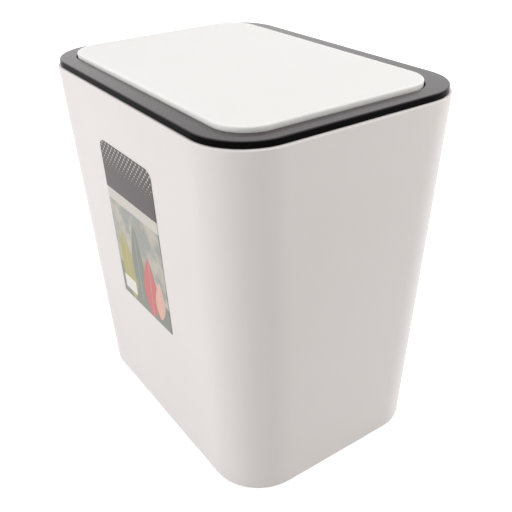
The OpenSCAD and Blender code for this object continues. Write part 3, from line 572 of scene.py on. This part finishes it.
def makeWire(name, points, radius):
    edges = [(i, i + 1) for i in range(len(points) - 1)]
    values = {"Wire Radius": radius, "Sides": wireSides, "Material": finishes["wireSteel"]}
    return growMesh(name, points, edges, drawnWire, values)


for side, label in ((1, "right"), (-1, "left")):
    coil = makeWire("hingeSpring." + label, hingeSpringPath(side), hingeSpring["wire"])
    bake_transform(coil)
    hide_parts("hinge_spring_" + label)
coil = makeWire("latchSpring.coil", latchSpringPath(), latchSpring["wire"])
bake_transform(coil)
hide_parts("latch_spring")
print("stage: springs wound")


screwShape = {  # metres
    "headRadius": 0.0027, "headHeight": 0.0017, "headEdge": 0.0011, "headSteps": 5,
    "flatRadius": 0.0011, "crownRadius": 0.0018, "crownDrop": 0.0001, "lip": 0.0002,
    "shankRadius": 0.0013, "coreRadius": 0.00095, "pitch": 0.00095, "ringsPerTurn": 6,
    "plainNeck": 0.0008, "tipLength": 0.0012, "tipSize": 0.45, "ridgeSlope": 3.2, "sides": 24,
    "slotWide": 0.00075, "slotLong": 0.0031, "slotDeep": 0.00095, "floorWide": 0.6, "floorLong": 0.55,
}


def screwRing(radius, z):
    sides = screwShape["sides"]
    angles = [math.tau * k / sides for k in range(sides)]
    return [(radius * math.cos(a), radius * math.sin(a), z) for a in angles]


def makeScrewMesh(length):
    # a pan head with a cross in it, and a shank whose rings swell and shrink along the thread
    s = screwShape
    sides, top, edge = s["sides"], -s["headHeight"], s["headEdge"]
    rings = [(s["flatRadius"], top), (s["crownRadius"], top + s["crownDrop"])]
    for step in range(1, s["headSteps"] + 1):
        a = math.radians(90 / s["headSteps"] * step)
        z = top + edge * (1 - math.cos(a)) + s["crownDrop"]
        rings.append((s["headRadius"] - edge * (1 - math.sin(a)), z))
    rings += [(s["headRadius"], -s["lip"]), (s["headRadius"] - s["lip"], 0.0), (s["shankRadius"], 0.0)]
    points, faces = [], []
    for radius, z in rings:
        points += screwRing(radius, z)
    stacks = int(length / s["pitch"] * s["ringsPerTurn"])
    for i in range(1, stacks + 1):
        z = length * i / stacks
        taper = s["tipSize"] + (1 - s["tipSize"]) * min(1.0, (length - z) / s["tipLength"])
        grip = min(1.0, z / s["plainNeck"])
        for k in range(sides):
            phase = (z / s["pitch"] - k / sides) % 1
            ridge = max(0.0, 1 - abs(phase - 0.5) * s["ridgeSlope"])
            swell = ridge * grip + 1 - grip
            radius = (s["coreRadius"] + (s["shankRadius"] - s["coreRadius"]) * swell) * taper
            a = math.tau * k / sides
            points.append((radius * math.cos(a), radius * math.sin(a), z))
    rows = len(points) // sides
    for row in range(rows - 1):
        for k in range(sides):
            a, b = row * sides + k, row * sides + (k + 1) % sides
            faces.append((a, b, b + sides, a + sides))
    faces.append(tuple(reversed(range(sides))))
    faces.append(tuple(range((rows - 1) * sides, rows * sides)))
    mesh = bpy.data.meshes.new("screwBlank")
    mesh.from_pydata(points, [], faces)
    blank = linkObject("screwBlank", mesh)
    cutFaces = [(3, 2, 1, 0), (4, 5, 6, 7), (0, 1, 5, 4), (1, 2, 6, 5), (2, 3, 7, 6), (3, 0, 4, 7)]
    above = top - s["lip"]  # the cutter starts a little above the head
    floor = above + s["slotDeep"] + s["lip"]
    for turn in (0, 1):  # each arm of the cross narrows towards its floor
        corners = []
        for z, wide, long in ((above, 1, 1), (floor, s["floorWide"], s["floorLong"])):
            corners += [(x * s["slotWide"] / 2 * wide, y * s["slotLong"] / 2 * long, z)
                        for x, y in ((-1, -1), (1, -1), (1, 1), (-1, 1))]
        if turn:
            corners = [(-y, x, z) for x, y, z in corners]
        cutMesh = bpy.data.meshes.new("screwCut")
        cutMesh.from_pydata(corners, [], cutFaces)
        cutter = linkObject("screwCut", cutMesh)
        cut = blank.modifiers.new("cross", "BOOLEAN")
        cut.operation, cut.solver, cut.object = "DIFFERENCE", "EXACT", cutter
        done = bpy.data.meshes.new_from_object(blank.evaluated_get(bpy.context.evaluated_depsgraph_get()))
        blank.modifiers.clear()
        blank.data = done
        bpy.data.objects.remove(cutter)
    return blank


weldDigits = 6  # points that agree to a micrometre are one point


def islandBoxes(nodeName):
    # lowest and highest corner of each separate solid in a CAD node
    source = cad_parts[nodeName].data
    keys = [tuple(round(c, weldDigits) for c in v.co) for v in source.vertices]
    parent = {key: key for key in keys}

    def root(key):
        while parent[key] != key:
            parent[key] = parent[parent[key]]
            key = parent[key]
        return key

    for polygon in source.polygons:
        first = root(keys[polygon.vertices[0]])
        for index in polygon.vertices[1:]:
            parent[root(keys[index])] = first
    boxes = {}
    for key in parent:
        low, high = boxes.setdefault(root(key), ([math.inf] * 3, [-math.inf] * 3))
        for axis in range(3):
            low[axis], high[axis] = min(low[axis], key[axis]), max(high[axis], key[axis])
    return [(Vector(low), Vector(high)) for low, high in boxes.values()]


screwGroups = {
    "lid_screws": dict(body="lid", axis=2, shankUp=True, turn=(0, 0, 0)),
    "striker_screws": dict(body="lid", axis=2, shankUp=True, turn=(0, 0, 0)),
    "latch_screws": dict(body="frame", axis=1, shankUp=False, turn=(math.pi / 2, 0, 0)),
}
for nodeName, group in screwGroups.items():
    places, length = [], 0.0
    for low, high in islandBoxes(nodeName):
        centre = (low + high) / 2
        axis, head = group["axis"], screwShape["headHeight"]
        centre[axis] = low[axis] + head if group["shankUp"] else high[axis] - head
        length = high[axis] - low[axis] - head
        places.append(tuple(centre))
    blank = makeScrewMesh(length)
    row = growMesh(nodeName.replace("_s", "S") + ".row", places, [], screwRow,
                   {"Screw": blank, "Turn": group["turn"], "Material": finishes["screwSteel"]})
    bpy.data.objects.remove(blank)
    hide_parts(nodeName)
    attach(row, group["body"])
print("stage: screws set")


studio = {
    "skyLight": 0.3, "skyTint": (1.0, 0.99, 0.985), "aim": (0, 0, 0.13),
    "floorSize": 6.0, "floorLight": (0.5, 0.49, 0.485, 1), "floorSeen": (0.84, 0.84, 0.84, 1),
    "floorLift": (0.62, 1.0), "liftReach": (0.7, 2.4),  # the glow near the bin and far off, and where
    "lamps": {  # place in metres, size in metres, power in watts, colour
        "topSoftbox": ((0.0, 0.1, 1.9), 1.5, 13.4, (1.0, 1.0, 0.995)),
        "frontSoftbox": ((-0.08, -2.0, 0.6), 1.2, 24.5, (0.985, 0.985, 1.0)),
        "backSoftbox": ((1.2, 1.5, 0.9), 1.2, 24.5, (1.0, 0.985, 0.965)),
        "farSoftbox": ((-2.1, -0.2, 0.35), 1.2, 8.0, (1.0, 0.995, 0.985)),
    },
}


def makeFloor():
    half = studio["floorSize"] / 2
    mesh = bpy.data.meshes.new("studioFloor")
    corners = [(-half, -half, 0), (half, -half, 0), (half, half, 0), (-half, half, 0)]
    mesh.from_pydata(corners, [], [(0, 1, 2, 3)])
    floor = linkObject("studioFloor", mesh)
    material = bpy.data.materials.new("studioPaper")
    material.use_nodes = True
    tree = material.node_tree
    tree.nodes.clear()
    out = addNode(tree, "ShaderNodeOutputMaterial")
    paper = addNode(tree, "ShaderNodeBsdfDiffuse", {"Color": studio["floorLight"]})
    white = addNode(tree, "ShaderNodeBsdfDiffuse", {"Color": studio["floorSeen"]})
    place = addNode(tree, "ShaderNodeTexCoord")
    away = addNode(tree, "ShaderNodeVectorMath", operation="LENGTH")
    strength = addNode(tree, "ShaderNodeMapRange", {
        "From Min": studio["liftReach"][0], "From Max": studio["liftReach"][1],
        "To Min": studio["floorLift"][0], "To Max": studio["floorLift"][1],
    })
    lift = addNode(tree, "ShaderNodeEmission")
    both = addNode(tree, "ShaderNodeAddShader")
    rays = addNode(tree, "ShaderNodeLightPath")
    seen = mathNode(tree, "ADD", rays.outputs["Is Camera Ray"], rays.outputs["Is Glossy Ray"], clamp=True)
    seen = mathNode(tree, "ADD", seen, rays.outputs["Is Transmission Ray"], clamp=True)
    choose = addNode(tree, "ShaderNodeMixShader")
    link = tree.links.new
    link(place.outputs["Object"], away.inputs[0])
    link(away.outputs["Value"], strength.inputs["Value"])
    link(strength.outputs["Result"], lift.inputs["Strength"])
    link(white.outputs["BSDF"], both.inputs[0])
    link(lift.outputs["Emission"], both.inputs[1])
    link(seen, choose.inputs["Fac"])
    link(paper.outputs["BSDF"], choose.inputs[1])
    link(both.outputs["Shader"], choose.inputs[2])
    link(choose.outputs["Shader"], out.inputs["Surface"])
    mesh.materials.append(material)


def makeSky():
    world = bpy.data.worlds.new("studioSky")
    bpy.context.scene.world = world
    world.use_nodes = True
    tree = world.node_tree
    sky = tree.nodes["Background"]
    rays = addNode(tree, "ShaderNodeLightPath")
    seen = mathNode(tree, "ADD", rays.outputs["Is Camera Ray"], rays.outputs["Is Glossy Ray"], clamp=True)
    seen = mathNode(tree, "ADD", seen, rays.outputs["Is Transmission Ray"], clamp=True)
    white = addNode(tree, "ShaderNodeBackground", {"Color": (1, 1, 1, 1), "Strength": 1.0})
    choose = addNode(tree, "ShaderNodeMixShader")
    sky.inputs["Color"].default_value = (*studio["skyTint"], 1)
    sky.inputs["Strength"].default_value = studio["skyLight"]
    tree.links.new(seen, choose.inputs["Fac"])
    tree.links.new(sky.outputs["Background"], choose.inputs[1])
    tree.links.new(white.outputs["Background"], choose.inputs[2])
    tree.links.new(choose.outputs["Shader"], tree.nodes["World Output"].inputs["Surface"])


def makeLamp(name, place, size, power, colour):
    lamp = bpy.data.lights.new(name, "AREA")
    lamp.size, lamp.energy, lamp.color = size, power, colour
    holder = linkObject(name, lamp)
    holder.location = place
    holder.rotation_mode = "QUATERNION"
    holder.rotation_quaternion = (Vector(studio["aim"]) - Vector(place)).to_track_quat("-Z", "Y")
    holder.visible_glossy = name == "topSoftbox"  # a side lamp seen in the lid would burn it out


lens = {
    "place": (0.359319, -0.235434, 0.358918), "focal": 48.73, "sensor": 36.0, "clip": (0.01, 50),
    "right": (0.57221, 0.81982, -0.02164), "up": (-0.40472, 0.30524, 0.86199),
    "back": (0.71329, -0.48448, 0.50646),
}


def makeCamera():
    camera = bpy.data.cameras.new("photoCamera")
    camera.lens, camera.sensor_width = lens["focal"], lens["sensor"]
    camera.clip_start, camera.clip_end = lens["clip"]
    holder = linkObject("photoCamera", camera)
    turn = Matrix((lens["right"], lens["up"], lens["back"])).transposed().to_4x4()
    holder.matrix_world = Matrix.Translation(lens["place"]) @ turn
    bpy.context.scene.camera = holder


makeFloor()
makeSky()
for lampName, (place, size, power, colour) in studio["lamps"].items():
    makeLamp(lampName, place, size, power, colour)
makeCamera()
bpy.context.scene.view_settings.view_transform = "Standard"
print("stage: studio lit")
